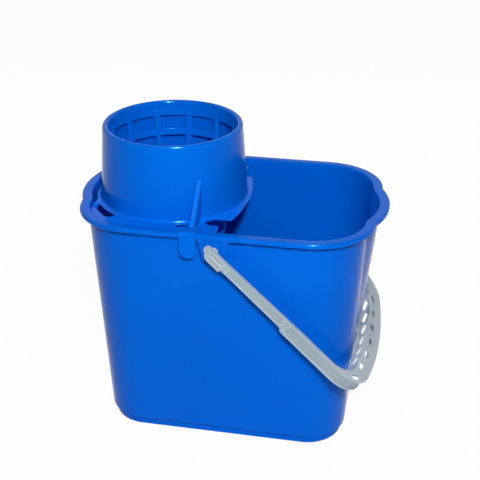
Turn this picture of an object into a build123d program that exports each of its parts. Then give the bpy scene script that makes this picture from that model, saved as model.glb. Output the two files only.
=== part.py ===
import os
from math import atan2, cos, degrees, radians, sin

from build123d import *

# Mop bucket with a press wringer and a bail handle, in millimetres.
# X runs along the bucket, with the wringer at -X, and the origin is on the floor under its middle.

# Bucket
bucket_height = 288.0
rim_length = 349.0        # over the rim, without the pouring lips
rim_width = 244.0
rim_corner = 73.0
rim_thickness = 2.5
rim_overhang = 9.6        # from the wall's outside to the rim's edge
rim_drop = 5.6            # height of the rim's down-turned edge
rim_round = 2.2
wall = 2.5
wall_lean = 15.0          # how far the wall leans out between the foot and the rim
foot_height = 11.5
foot_inset = 3.5
foot_wall = 3.0
foot_round = 1.5
floor_thickness = 3.0
floor_round = 9.0
lip_reach = 11.5          # pouring lip, beyond the rim's end
lip_radius = 114.0
lip_notch_round = 9.0
spout_start = 80.0        # height where the spout leaves the end wall
spout_root = 60.0         # depth of the spout's core inside the wall

# Handle ears on the bucket's long sides
ear_top_width = 36.0
ear_bottom_width = 23.0
ear_height = 32.0         # below the rim's top
ear_thickness = 3.5
ear_side = 2.5
ear_round = 3.0
ear_recess_width = 20.0
ear_recess_depth = 1.2

# Handle
pivot_drop = 19.5         # from the rim's top down to the pivot
hang_angle = 44.4         # below horizontal, where the grip leans on the end wall
stud_radius = 4.0
stud_clearance = 0.05
stud_head_radius = 5.5
stud_head_thickness = 2.0
stud_shoulder_radius = 6.5
side_gap = 0.5            # end play of the studs in the ears
arm_gap = 3.3             # between the rim's edge and the arm
arm_thickness = 5.2
grip_half_height = 8.5    # half the handle's width, square to the plane of the bail
arm_below = 4.8           # narrow stretch of the arm, below the line through the pivots
arm_above = 5.8           # arm beside the pivot, above that line
taper_end = 140.0         # where the arm's upper edge has reached the grip's height
arm_step = 114.0          # where the arm widens, from the pivot
arm_step_length = 3.0
pad_start = 3.0           # pad behind the pivot
pad_end = 19.0
tip_end = 11.5            # tip behind the pivot
tip_start = 6.5
tip_below = 3.0
tip_round = 4.2
rest_gap = 2.2            # between the hanging grip and the end wall
grip_bow = 459.0          # radius of the grip's inner face
grip_depth = 21.0
grip_floor = 2.4          # inner wall of the hollow grip
grip_wall = 3.0           # its outer wall
hollow_half = 123.0       # the hollow ends this far from the middle
flange = 2.5
bend_inner = 36.0
bend_outer = 46.0
groove_depth = 1.2        # groove along the outside of the arm
groove_edge = 1.9
groove_start = 26.0
pad_groove_length = 20.0
pad_groove_width = 4.2
pad_rib = 2.4
slot_pitch = 32.5
slot_rows = 6
slot_length = 17.0
slot_width = 6.0
slot_inset = 8.0          # from the grip's inner face to the middle of the slots
bend_slot_angle = 45.0
bend_slot_inset = 7.0     # from the bend's outside to the middle of its slot
diamond_count = 6
diamond_pitch = 27.0
diamond_length = 25.5
diamond_height = 11.6

# Wringer
wringer_gap = 6.0         # from the rim's end to the foot of the flare
collar_rise = 85.3        # above the bucket's rim
collar_bead = 6.5         # width of the rolled rim
bead_drop = 7.0
skirt_draft = 5.9         # the skirt narrows by this up to its rim
skirt_wall = 2.5
skirt_flare = 5.6
skirt_margin = 13.6       # from the flare to the seat plate's long edge
seat_drop = 5.0           # seat plate's top below the rim's top
seat_thickness = 3.0
seat_clearance = 1.5      # between the seat plate and the bucket's wall
seat_short = 1.8          # how far the seat plate's free edge stops short of the flare
seat_edge_radius = 240.0
basket_wall = 3.6
basket_drop = 88.0        # basket's bottom below the bucket's rim
basket_taper = 23.4       # the basket narrows by this down to its bottom
basket_floor = 3.0
band_height = 18.7        # plain band at the top of the basket
band_inset = 0.8
ring_height = 8.7
ring_pitch = 24.7
ring_count = 5
ring_inset = 1.3          # rings lie this much behind the bars
bar_count = 12
bar_width = 7.2
bar_depth = 2.4
bar_rise = 8.0            # the bars reach this far up the plain band
drain_radius = 7.0
drain_circle = 31.0
drain_count = 8
gusset_thickness = 5.5
gusset_shift = 0.5        # from the hook's middle, along the bucket
gusset_top = 51.0         # above the seat plate's top
gusset_foot = 6.0         # from the wall to the gusset's foot
hook_gap = 1.0            # from the ear to the hook, along the bucket
hook_width = 19.0
hook_thickness = 2.3
hook_clearance = 0.3
hook_length = 28.5        # below the rim's top
hook_round = 9.0
corner_slot_length = 40.0
corner_slot_width = 12.3
corner_slot_margin = 14.7  # from the seat plate's edge to the slot's middle
corner_slot_place = 21.8  # degrees round the bucket's corner
corner_slot_turn = 49.0   # degrees from the bucket's length
small_slot_length = 15.4
small_slot_width = 9.0
small_slot_shift = 15.4   # from the hook's middle, towards the bucket's end
small_slot_margin = 17.6  # from the seat plate's edge to the slot's middle
notch_shift = 19.5        # from the hook's middle to the notch's round end
notch_margin = 34.0       # from the seat plate's edge to the notch's middle
notch_width = 19.0
strip_shift = 27.5        # from the hook's middle to the end of its strip
ledge_depth = 6.0         # ledge for the seat plate, in from the wall
ledge_height = 8.0
ledge_width = 26.0
ledge_y = 61.0
ledge_gap = 0.3

# Values that follow from the sizes above
rim_half = rim_width / 2
lean_angle = degrees(atan2(wall_lean, bucket_height - foot_height))
lip_centre = rim_length / 2 + lip_reach - lip_radius
cavity_bottom = foot_height + floor_thickness
pivot_height = bucket_height - pivot_drop
hang_cos = cos(radians(hang_angle))
hang_sin = sin(radians(hang_angle))
arm_inner = rim_half + arm_gap
arm_outer = arm_inner + arm_thickness
hook_x = -(ear_top_width / 2 + hook_gap + hook_width / 2)
seat_top = bucket_height - seat_drop
seat_bottom = seat_top - seat_thickness
collar_top = bucket_height + collar_rise
band_bottom = collar_top - band_height
bar_top = band_bottom + bar_rise
basket_bottom = bucket_height - basket_drop


def wall_inset(height):
    """How far the wall's outside lies inside the rim's edge at a height."""
    share = (bucket_height - height) / (bucket_height - foot_height)
    return rim_overhang + wall_lean * share


def spout_centre(height):
    """Centre of the spout's round nose at a height."""
    start = rim_length / 2 - wall_inset(spout_start) - (lip_radius - rim_overhang)
    share = (height - spout_start) / (bucket_height - spout_start)
    return start + (lip_centre - start) * share


def end_face(height):
    """Furthest point of the end wall from the middle at a height, spout included."""
    nose = spout_centre(height) + lip_radius - rim_overhang
    return max(rim_length / 2 - wall_inset(height), nose)


def hanging_reach():
    """Distance from the pivot to the grip's inner face, where the grip hangs against the end wall."""
    reach = rim_length / 2
    for settle in range(20):
        edge_height = pivot_height - reach * hang_sin - grip_half_height * hang_cos
        reach = (end_face(edge_height) + rest_gap + grip_half_height * hang_sin) / hang_cos
    return reach


seat_in = wall_inset(seat_bottom) + wall + seat_clearance
seat_half = rim_half - seat_in
skirt_radius = seat_half - skirt_margin - skirt_flare
wringer_x = wringer_gap + skirt_radius + skirt_flare - rim_length / 2
collar_radius = skirt_radius - skirt_draft
basket_top_radius = collar_radius - collar_bead
grip_reach = hanging_reach()
grip_end = grip_reach + grip_depth


def basket_radius(height):
    """Inner radius of the basket's bars at a height."""
    share = (height - basket_bottom) / (collar_top - basket_bottom)
    return basket_top_radius - basket_taper * (1 - share)


def tub_solid(skin, low, corner_round):
    """The wall's outside less a skin, spouts included, from a low height to the rim's top."""
    inset = wall_inset(low) + skin
    tall = bucket_height - low
    with BuildPart() as tub:
        with BuildSketch(Plane.XY.offset(low)):
            RectangleRounded(rim_length - 2 * inset, rim_width - 2 * inset, rim_corner - inset)
        extrude(amount=tall, taper=-lean_angle)
        if corner_round:
            fillet(tub.edges().group_by(Axis.Z)[0], corner_round)
        nose = lip_radius - rim_overhang - skin
        for side in (1, -1):
            centre = side * spout_centre(low)
            drift = side * (lip_centre - spout_centre(low))
            with BuildSketch(Plane.XY.offset(low)) as core:
                with Locations((centre, 0)):
                    Circle(nose)
                with Locations((centre + side * (spout_root + nose), 0)):
                    Rectangle(2 * nose, 2 * nose, mode=Mode.INTERSECT)
            length = (drift**2 + tall**2) ** 0.5
            extrude(core.sketch, amount=length, dir=(drift, 0, tall))
    return tub.part


def on_lip(corner, nose):
    """Whether a corner of the rim's plan is where a lip of a nose radius begins."""
    reach = ((abs(corner.X) - lip_centre) ** 2 + corner.Y**2) ** 0.5
    return abs(reach - nose) < 0.01 and abs(corner.Y) > 1


def rim_plan(inset):
    """Plan of the rim with its pouring lips."""
    nose = lip_radius - inset
    with BuildSketch() as lips:
        with Locations((lip_centre, 0), (-lip_centre, 0)):
            Circle(nose)
        Rectangle(2 * (lip_centre + spout_root), 4 * nose, mode=Mode.SUBTRACT)
    with BuildSketch() as plan:
        RectangleRounded(rim_length - 2 * inset, rim_width - 2 * inset, rim_corner - inset)
        add(lips.sketch)
        fillet(plan.vertices().filter_by(lambda v: on_lip(v, nose)), lip_notch_round + inset)
    return plan.sketch


def ear_solid(side):
    """Hollow ear under the rim, with the bore for a handle stud."""
    face = Plane(origin=(0, side * rim_half, bucket_height), x_dir=(-side, 0, 0), z_dir=(0, side, 0))
    depth = rim_overhang + wall_lean / 2
    with BuildPart() as ear:
        with BuildSketch(face) as outline:
            with BuildLine():
                Polyline(
                    (-ear_top_width / 2, -rim_thickness),
                    (-ear_top_width / 2, -rim_drop),
                    (-ear_bottom_width / 2, -ear_height),
                    (ear_bottom_width / 2, -ear_height),
                    (ear_top_width / 2, -rim_drop),
                    (ear_top_width / 2, -rim_thickness),
                    close=True,
                )
            make_face()
            fillet(outline.vertices().group_by(Axis.Y)[0], ear_round)
        extrude(amount=-depth)
        with BuildSketch(face.offset(-ear_thickness)):
            with BuildLine():
                Polyline(
                    (-ear_top_width / 2 + ear_side, -rim_thickness),
                    (-ear_top_width / 2 + ear_side, -rim_drop),
                    (-ear_bottom_width / 2 + ear_side, -ear_height),
                    (ear_bottom_width / 2 - ear_side, -ear_height),
                    (ear_top_width / 2 - ear_side, -rim_drop),
                    (ear_top_width / 2 - ear_side, -rim_thickness),
                    close=True,
                )
            make_face()
        extrude(amount=-depth, mode=Mode.SUBTRACT)
        with BuildSketch(face):
            with Locations((0, -(rim_drop + ear_height) / 2)):
                Rectangle(ear_recess_width, ear_height - rim_drop)
        extrude(amount=-ear_recess_depth, mode=Mode.SUBTRACT)
        with BuildSketch(face):
            with Locations((0, -pivot_drop)):
                Circle(stud_radius + stud_clearance)
        extrude(amount=-2 * ear_thickness, mode=Mode.SUBTRACT)
    return ear.part


# Bucket: tapered tub with a foot, a turned-down rim, pouring lips, ears and a ledge for the wringer
tub_outside = tub_solid(0, foot_height, 0)
ears = [ear_solid(side) for side in (1, -1)]
rim_outline = rim_plan(0)
rim_hollow = rim_plan(rim_thickness)

with BuildPart() as cavity:
    add(tub_solid(wall, cavity_bottom, floor_round))
    for wedge in (1, -1):
        with BuildSketch(Plane.XY.offset(seat_bottom - ledge_gap - ledge_height)):
            outer = wall_inset(seat_bottom)
            inner = outer + wall + ledge_depth
            RectangleRounded(rim_length - 2 * outer, rim_width - 2 * outer, rim_corner - outer)
            RectangleRounded(
                rim_length - 2 * inner, rim_width - 2 * inner, rim_corner - inner, mode=Mode.SUBTRACT
            )
            with Locations((-rim_length / 2, wedge * ledge_y)):
                Rectangle(rim_length / 2, ledge_width, mode=Mode.INTERSECT)
        extrude(amount=ledge_height, mode=Mode.SUBTRACT)

with BuildPart() as bucket:
    add(tub_outside)
    foot_in = wall_inset(foot_height) + foot_inset
    with BuildSketch():
        RectangleRounded(rim_length - 2 * foot_in, rim_width - 2 * foot_in, rim_corner - foot_in)
    extrude(amount=foot_height)
    fillet(bucket.edges().group_by(Axis.Z)[0], foot_round)
    with BuildSketch():
        ring_in = foot_in + foot_wall
        RectangleRounded(rim_length - 2 * ring_in, rim_width - 2 * ring_in, rim_corner - ring_in)
    extrude(amount=foot_height, mode=Mode.SUBTRACT)
    extrude(rim_outline.moved(Location((0, 0, bucket_height - rim_thickness))), amount=rim_thickness)
    with BuildSketch(Plane.XY.offset(bucket_height - rim_drop)):
        add(rim_outline)
        add(rim_hollow, mode=Mode.SUBTRACT)
    extrude(amount=rim_drop - rim_thickness / 2)
    fillet(bucket.edges().group_by(Axis.Z)[-1], rim_round)
    for ear in ears:
        add(ear)
    add(cavity.part, mode=Mode.SUBTRACT)
bucket.part.label = "bucket"

# Wringer: collar, basket of bars and rings, seat plate, gussets and hooks over the rim
wringer_axis = Axis((wringer_x, 0, 0), (0, 0, 1))
section = Plane(origin=(wringer_x, 0, 0), x_dir=(1, 0, 0), z_dir=(0, -1, 0))
bead = collar_bead / 2
gusset_floor = seat_bottom + seat_thickness / 2
gusset_root = skirt_radius / 2
gusset_x = hook_x + gusset_shift
gusset_peak = (collar_radius**2 - (gusset_x - wringer_x) ** 2) ** 0.5
gusset_end = seat_half + seat_clearance - gusset_foot

with BuildPart() as gussets:
    with BuildSketch(Plane.YZ.offset(gusset_x)):
        with BuildLine():
            Polyline(
                (gusset_root, gusset_floor),
                (gusset_root, seat_top + gusset_top + skirt_wall),
                (gusset_peak, seat_top + gusset_top),
                (gusset_end, bucket_height),
                (gusset_end, gusset_floor),
                close=True,
            )
        make_face()
    extrude(amount=gusset_thickness / 2, both=True)
    mirror(about=Plane.XZ)
    with BuildSketch(section):
        with BuildLine():
            Polyline(
                (0, 0),
                (skirt_radius - skirt_wall / 2, 0),
                (skirt_radius - skirt_wall / 2, seat_top),
                (collar_radius - skirt_wall / 2, collar_top),
                (0, collar_top),
                close=True,
            )
        make_face()
    revolve(axis=wringer_axis, mode=Mode.SUBTRACT)

# Hooks: an upright inside the rim, a strap across it and a tab outside it
strap_top = bucket_height + hook_clearance + hook_thickness
upright_face = seat_half - hook_thickness
tab_face = rim_half + hook_clearance

with BuildPart() as hooks:
    with BuildSketch(Plane.YZ.offset(hook_x)):
        with BuildLine():
            Polyline(
                (upright_face, seat_bottom),
                (upright_face, strap_top),
                (tab_face + hook_thickness, strap_top),
                (tab_face + hook_thickness, bucket_height - hook_length),
                (tab_face, bucket_height - hook_length),
                (tab_face, bucket_height + hook_clearance),
                (upright_face + hook_thickness, bucket_height + hook_clearance),
                (upright_face + hook_thickness, seat_bottom),
                close=True,
            )
        make_face()
    extrude(amount=hook_width / 2, both=True)
    fillet(hooks.edges().filter_by(Axis.Y).group_by(Axis.Z)[0], hook_round)
    mirror(about=Plane.XZ)

with BuildPart() as wringer:
    # Collar and its rolled rim, with the plain band of the basket
    with BuildSketch(section):
        with BuildLine():
            ThreePointArc(
                (basket_top_radius, collar_top - bead),
                (basket_top_radius + bead, collar_top),
                (collar_radius, collar_top - bead),
            )
            Line((collar_radius, collar_top - bead), (skirt_radius, seat_top + skirt_flare))
            RadiusArc(
                (skirt_radius, seat_top + skirt_flare), (skirt_radius + skirt_flare, seat_top), -skirt_flare
            )
            Polyline(
                (skirt_radius + skirt_flare, seat_top),
                (skirt_radius + skirt_flare, seat_bottom),
                (skirt_radius - skirt_wall, seat_bottom),
                (collar_radius - skirt_wall, collar_top - bead_drop),
                (basket_top_radius + skirt_wall, collar_top - bead_drop),
                (basket_radius(band_bottom) + skirt_wall + band_inset, band_bottom),
                (basket_radius(band_bottom) + band_inset, band_bottom),
                (basket_top_radius, collar_top - bead),
            )
        make_face()
    revolve(axis=wringer_axis)
    # Rings of the basket
    with BuildSketch(section):
        for ring in range(ring_count):
            top = band_bottom - ring_pitch * ring - (ring_pitch - ring_height)
            bottom = top - ring_height
            with BuildLine():
                Polyline(
                    (basket_radius(top) + ring_inset, top),
                    (basket_radius(top) + basket_wall, top),
                    (basket_radius(bottom) + basket_wall, bottom),
                    (basket_radius(bottom) + ring_inset, bottom),
                    close=True,
                )
            make_face()
        with BuildLine():
            Polyline(
                (0, basket_bottom),
                (basket_radius(basket_bottom) + basket_wall, basket_bottom),
                (basket_radius(basket_bottom + ring_height) + basket_wall, basket_bottom + ring_height),
                (basket_radius(basket_bottom + ring_height) + ring_inset, basket_bottom + ring_height),
                (basket_radius(basket_bottom + basket_floor) + ring_inset, basket_bottom + basket_floor),
                (0, basket_bottom + basket_floor),
                close=True,
            )
        make_face()
    revolve(axis=wringer_axis)
    # Bars of the basket
    for bar in range(bar_count):
        turn = radians(360 / bar_count * bar)
        radial = Plane(
            origin=(wringer_x, 0, 0), x_dir=(cos(turn), sin(turn), 0), z_dir=(sin(turn), -cos(turn), 0)
        )
        with BuildSketch(radial):
            with BuildLine():
                Polyline(
                    (basket_radius(bar_top), bar_top),
                    (basket_radius(bar_top) + bar_depth, bar_top),
                    (basket_radius(basket_bottom) + bar_depth, basket_bottom),
                    (basket_radius(basket_bottom), basket_bottom),
                    close=True,
                )
            make_face()
    extrude(amount=bar_width / 2, both=True)
    # Drain holes in the basket's floor
    with BuildSketch(Plane.XY.offset(basket_bottom)):
        with Locations((wringer_x, 0)):
            Circle(drain_radius)
            with PolarLocations(drain_circle, drain_count):
                Circle(drain_radius)
    extrude(amount=basket_floor, mode=Mode.SUBTRACT)
    # Seat plate inside the rim
    with BuildSketch(Plane.XY.offset(seat_bottom)):
        RectangleRounded(rim_length - 2 * seat_in, rim_width - 2 * seat_in, rim_corner - seat_in)
        seat_edge = wringer_x + skirt_radius + skirt_flare - seat_short
        with Locations((seat_edge - seat_edge_radius, 0)):
            Circle(seat_edge_radius, mode=Mode.INTERSECT)
        with Locations((wringer_x, 0)):
            Circle(skirt_radius - skirt_wall / 2, mode=Mode.SUBTRACT)
        notch_x = hook_x + notch_shift
        notch_y = seat_half - notch_margin
        strip_x = hook_x + strip_shift
        slot_ring = rim_corner - seat_in - corner_slot_margin
        slot_x = rim_corner - rim_length / 2 - slot_ring * cos(radians(corner_slot_place))
        slot_y = rim_half - rim_corner + slot_ring * sin(radians(corner_slot_place))
        for side in (1, -1):
            with Locations((notch_x + rim_length / 2, side * notch_y)):
                Rectangle(rim_length, notch_width, mode=Mode.SUBTRACT)
            with Locations((notch_x, side * notch_y)):
                Circle(notch_width / 2, mode=Mode.SUBTRACT)
            with Locations((strip_x + rim_length / 2, side * (notch_y + rim_half / 2))):
                Rectangle(rim_length, rim_half, mode=Mode.SUBTRACT)
            with Locations((slot_x, side * slot_y)):
                slot_turn = side * corner_slot_turn
                SlotOverall(corner_slot_length, corner_slot_width, rotation=slot_turn, mode=Mode.SUBTRACT)
            with Locations((hook_x - small_slot_shift, side * (seat_half - small_slot_margin))):
                SlotOverall(small_slot_length, small_slot_width, mode=Mode.SUBTRACT)
    extrude(amount=seat_thickness)
    add(gussets.part)
    add(hooks.part)
wringer.part.label = "wringer"

# Handle: two arms, a perforated grip and a stud at each end
bail = Plane(
    origin=(0, 0, pivot_height), x_dir=(hang_cos, 0, -hang_sin), z_dir=(hang_sin, 0, hang_cos)
)
side_view = Plane(origin=bail.origin, x_dir=bail.x_dir, z_dir=(0, -1, 0))
grip_face = Plane(origin=bail.origin + bail.x_dir * grip_reach, x_dir=(0, 1, 0), z_dir=bail.x_dir)


def bail_band(half_width, reach, bend, bow):
    """Plan of a tongue from behind the pivots to a reach, with a bowed far end and round corners."""
    length = reach + tip_end
    with BuildSketch() as band:
        with Locations((reach - length / 2, 0)):
            Rectangle(length, 2 * half_width)
        with Locations((reach - bow, 0)):
            Circle(bow, mode=Mode.INTERSECT)
        fillet(band.vertices().filter_by(lambda v: v.X > 0 and abs(v.Y) > bend), bend)
    return band.sketch


def groove_plan(start, end):
    """Plan of the groove along the outside of the bail, between two distances from the pivot."""
    with BuildSketch() as groove:
        add(bail_outside)
        add(groove_floor, mode=Mode.SUBTRACT)
        with Locations(((start + end) / 2, 0)):
            Rectangle(end - start, 4 * arm_outer, mode=Mode.INTERSECT)
    return groove.sketch


bow_outer = grip_bow + grip_depth
bail_outside = bail_band(arm_outer, grip_end, bend_outer, bow_outer)
bail_inside = bail_band(arm_inner, grip_reach, bend_inner, grip_bow)
groove_floor = bail_band(
    arm_outer - groove_depth, grip_end - groove_depth, bend_outer - groove_depth, bow_outer - groove_depth
)
hollow_outside = bail_band(
    arm_outer - grip_wall, grip_end - grip_wall, bend_outer - grip_wall, bow_outer - grip_wall
)
hollow_inside = bail_band(
    arm_inner + grip_floor, grip_reach + grip_floor, bend_inner + grip_floor, grip_bow + grip_floor
)
arm_groove = groove_plan(groove_start, arm_step - arm_step_length)
grip_groove = groove_plan(arm_step + 2 * arm_step_length, grip_end)
bow_centre = grip_reach - grip_bow
slot_radius = grip_bow + slot_inset
slot_bend = bend_outer - bend_slot_inset
bend_y = arm_outer - bend_outer
bend_x = bow_centre + ((bow_outer - bend_outer) ** 2 - bend_y**2) ** 0.5

with BuildPart() as handle:
    with BuildSketch(bail.offset(-grip_half_height)):
        add(bail_outside)
        add(bail_inside, mode=Mode.SUBTRACT)
    extrude(amount=2 * grip_half_height)
    # Side view: rounded tip, pad, narrow arm and wide strap
    with BuildSketch(side_view) as profile:
        with BuildLine():
            Polyline(
                (-tip_end, arm_above),
                (-tip_end, -tip_below),
                (-tip_start, -tip_below),
                (-pad_start, -grip_half_height),
                (pad_end, -grip_half_height),
                (pad_end, -arm_below),
                (arm_step, -arm_below),
                (arm_step + arm_step_length, -grip_half_height),
                (grip_end, -grip_half_height),
                (grip_end, grip_half_height),
                (taper_end, grip_half_height),
                (pad_end, arm_above),
                close=True,
            )
        make_face()
        fillet(profile.vertices().group_by(Axis.X)[0], tip_round)
    extrude(amount=2 * arm_outer, both=True, mode=Mode.INTERSECT)
    # Grooves that leave a raised edge along the outside of the arms and the grip
    low = -arm_below + groove_edge
    high = arm_above - groove_edge
    with BuildSketch(bail.offset(low)):
        add(arm_groove)
    extrude(amount=high - low, mode=Mode.SUBTRACT)
    with BuildSketch(bail.offset(-grip_half_height + flange)):
        add(grip_groove)
    extrude(amount=2 * (grip_half_height - flange), mode=Mode.SUBTRACT)
    for side in (1, -1):
        with BuildSketch(side_view.offset(side * arm_outer)):
            for row in (1, -1):
                rise = (arm_above - grip_half_height + row * (pad_groove_width + pad_rib)) / 2
                with Locations(((pad_end - pad_start) / 2, rise)):
                    SlotOverall(pad_groove_length, pad_groove_width)
        extrude(amount=-side * groove_depth, mode=Mode.SUBTRACT)
    # The grip is hollow and open below
    with BuildSketch(bail.offset(-grip_half_height)):
        add(hollow_outside)
        add(hollow_inside, mode=Mode.SUBTRACT)
        with Locations((grip_end / 2, 0)):
            Rectangle(grip_end, 2 * hollow_half, mode=Mode.INTERSECT)
    extrude(amount=2 * grip_half_height - flange, mode=Mode.SUBTRACT)
    # Long slots through the grip's top
    with BuildSketch(bail.offset(-2 * grip_half_height)):
        for row in range(slot_rows):
            turn = (row - (slot_rows - 1) / 2) * slot_pitch / slot_radius
            with Locations((bow_centre + slot_radius * cos(turn), slot_radius * sin(turn))):
                SlotOverall(slot_length, slot_width, rotation=90 + degrees(turn))
        for side in (1, -1):
            along = slot_bend * cos(radians(bend_slot_angle))
            across = slot_bend * sin(radians(bend_slot_angle))
            with Locations((bend_x + along, side * (bend_y + across))):
                SlotOverall(slot_length, slot_width, rotation=90 + side * bend_slot_angle)
    extrude(amount=4 * grip_half_height, mode=Mode.SUBTRACT)
    # Diamonds through the grip's inner wall
    with BuildSketch(grip_face.offset(-grip_depth / 2)):
        with GridLocations(diamond_pitch, 0, diamond_count, 1):
            half_length = diamond_length / 2
            half_height = diamond_height / 2
            Polygon((-half_length, 0), (0, -half_height), (half_length, 0), (0, half_height))
    extrude(amount=0.75 * grip_depth, mode=Mode.SUBTRACT)
    # Studs: a shoulder against the ear, a pin through it and a head behind it
    shoulder_face = rim_half - ear_recess_depth + side_gap
    head_face = rim_half - ear_thickness - side_gap
    for side in (1, -1):
        for radius, start, end in (
            (stud_shoulder_radius, arm_inner + arm_thickness / 2, shoulder_face),
            (stud_radius, shoulder_face, head_face),
            (stud_head_radius, head_face, head_face - stud_head_thickness),
        ):
            with BuildSketch(Plane.XZ.offset(-side * start)):
                with Locations((0, pivot_height)):
                    Circle(radius)
            extrude(amount=side * (start - end))
handle.part.label = "handle"

os.makedirs("parts", exist_ok=True)
for piece in (bucket.part, wringer.part, handle.part):
    export_step(piece, f"parts/{piece.label}.step")
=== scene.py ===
from math import atan2, cos, pi, radians, sin, sqrt

import bmesh
import bpy
from mathutils import Matrix, Vector


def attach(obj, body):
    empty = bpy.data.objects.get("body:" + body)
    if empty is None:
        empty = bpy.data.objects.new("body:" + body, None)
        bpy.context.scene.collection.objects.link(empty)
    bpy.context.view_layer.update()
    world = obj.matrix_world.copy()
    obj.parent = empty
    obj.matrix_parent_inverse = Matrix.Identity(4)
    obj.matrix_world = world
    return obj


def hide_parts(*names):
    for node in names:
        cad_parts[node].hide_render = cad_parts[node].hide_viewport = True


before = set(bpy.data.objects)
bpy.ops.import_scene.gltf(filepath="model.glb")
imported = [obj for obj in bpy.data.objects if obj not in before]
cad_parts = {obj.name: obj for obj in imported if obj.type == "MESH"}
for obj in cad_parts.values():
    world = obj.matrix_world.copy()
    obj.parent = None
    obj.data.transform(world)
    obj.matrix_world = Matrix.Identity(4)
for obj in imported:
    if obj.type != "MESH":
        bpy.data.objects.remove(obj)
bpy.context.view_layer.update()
scene = bpy.context.scene
mm = 0.001           # pieces are modelled in millimetres
onPlane = 0.01       # a corner this near to a plane lies on it
sameSpot = 0.001     # corners this near to each other are one
sharpTurn = 40.0     # degrees from which an edge is shaded sharp
plateCorners = 50    # a face with more corners than this is a whole plate


# rings and flat openings

def onlyVerts(geom):
    return [g for g in geom if isinstance(g, bmesh.types.BMVert)]


def circleRing(bm, segments, radius=1.0):
    made = bmesh.ops.create_circle(bm, segments=segments, radius=radius)["verts"]
    return sorted(made, key=lambda v: atan2(v.co.y, v.co.x))


def ringEdges(bm, ring):
    return [bm.edges.get(pair) for pair in zip(ring, ring[1:] + ring[:1])]


def nextRing(bm, ring):
    # extrude a closed ring of edges and return the new ring in the same order
    made = bmesh.ops.extrude_edge_only(bm, edges=ringEdges(bm, ring))["geom"]
    fresh = set(onlyVerts(made))
    return [
        next(e.other_vert(v) for e in v.link_edges if e.other_vert(v) in fresh)
        for v in ring
    ]


def ringDownTo(bm, ring, z):
    lower = nextRing(bm, ring)
    for vert in lower:
        vert.co.z = z
    return lower


def placeRing(ring, points):
    for vert, point in zip(ring, points):
        vert.co = point


def bevelEdges(bm, edges, width, segments):
    bmesh.ops.bevel(
        bm, geom=edges, offset=width, offset_type="OFFSET", segments=segments,
        profile=0.5, affect="EDGES", material=-1, clamp_overlap=True,
    )


def roundCorners(bm, verts, corners, steps):
    # each corner's last value is its radius; steps has the segments for radii above a size
    for vert, corner in zip(verts, corners):
        radius = corner[-1]
        if radius:
            bmesh.ops.bevel(
                bm, geom=[vert], offset=radius, offset_type="OFFSET",
                segments=next(count for above, count in steps if radius > above),
                profile=0.5, affect="VERTICES", material=-1,
            )


def sharpEdges(bm, sharp):
    # edges that turn by more than an angle
    return [
        e for e in bm.edges
        if len(e.link_faces) == 2 and e.calc_face_angle(0.0) > radians(sharp)
    ]


def softenEdges(bm, width, segments, sharp):
    bevelEdges(bm, sharpEdges(bm, sharp), width, segments)


def insetFaces(bm, area, width):
    # a margin inside large faces keeps the painted edge highlight and wear near their edges
    large = [f for f in bm.faces if f.calc_area() > area]
    bmesh.ops.inset_individual(bm, faces=large, thickness=width, use_even_offset=True)


def ovalRing(bm, place, length, width, segments=24):
    # a circle drawn out to a slot; place turns flat coordinates into a point
    ring = circleRing(bm, segments, width / 2)
    bmesh.ops.rotate(bm, verts=ring, matrix=Matrix.Rotation(pi / segments, 3, "Z"))
    draw = (length - width) / 2
    placeRing(ring, [place(v.co.x + (draw if v.co.x > 0 else -draw), v.co.y) for v in ring])
    return ring


def bridgeRings(bm, first, second):
    bmesh.ops.bridge_loops(bm, edges=ringEdges(bm, first) + ringEdges(bm, second))


def chamferedSlot(bm, place, level, length, width, cut):
    # the mouth of a slot at a level, and the narrower ring below its chamfer
    mouth = ovalRing(bm, lambda a, b: place(a, b, level), length + 2 * cut, width + 2 * cut)
    throat = ovalRing(bm, lambda a, b: place(a, b, level - cut), length, width)
    bridgeRings(bm, mouth, throat)
    return mouth, throat


def plateFaces(bm, height):
    return [
        f for f in bm.faces
        if len(f.verts) > plateCorners and abs(f.verts[0].co.z - height) < onPlane
    ]


def pierce(bm, faces, rings):
    # fill a flat patch of faces again, round the rings that open it
    patch = set(faces)
    border = [e for f in faces for e in f.edges if sum(g in patch for g in e.link_faces) == 1]
    bmesh.ops.delete(bm, geom=faces, context="FACES")
    for ring in rings:
        border += ringEdges(bm, ring)
    # the order of the edges decides the triangles, so it is the same in each run
    border.sort(key=lambda e: sorted([round(c, 4) for c in v.co] for v in e.verts))
    bmesh.ops.triangle_fill(bm, use_beauty=True, edges=border)


def joinPart(whole, part):
    # a finished part goes into the piece's mesh
    bmesh.ops.remove_doubles(part, verts=part.verts, dist=sameSpot)
    bmesh.ops.recalc_face_normals(part, faces=part.faces)
    mesh = bpy.data.meshes.new("part")
    part.to_mesh(mesh)
    part.free()
    whole.from_mesh(mesh)
    bpy.data.meshes.remove(mesh)


def mirrorPart(bm, axis):
    bmesh.ops.mirror(
        bm, geom=bm.verts[:] + bm.edges[:] + bm.faces[:], merge_dist=sameSpot, axis=axis,
    )
    bmesh.ops.recalc_face_normals(bm, faces=bm.faces)


def finishPiece(bm, name, body, node, material):
    bmesh.ops.scale(bm, vec=(mm, mm, mm), verts=bm.verts)
    mesh = bpy.data.meshes.new(name)
    bm.to_mesh(mesh)
    bm.free()
    mesh.shade_smooth()
    mesh.set_sharp_from_angle(angle=radians(sharpTurn))
    piece = bpy.data.objects.new(name, mesh)
    scene.collection.objects.link(piece)
    mesh.materials.append(material)
    even = piece.modifiers.new("evenShading", "WEIGHTED_NORMAL")
    even.keep_sharp = True
    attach(piece, body)
    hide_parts(node)
    print(name, len(mesh.polygons), "faces")


# plastics

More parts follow.
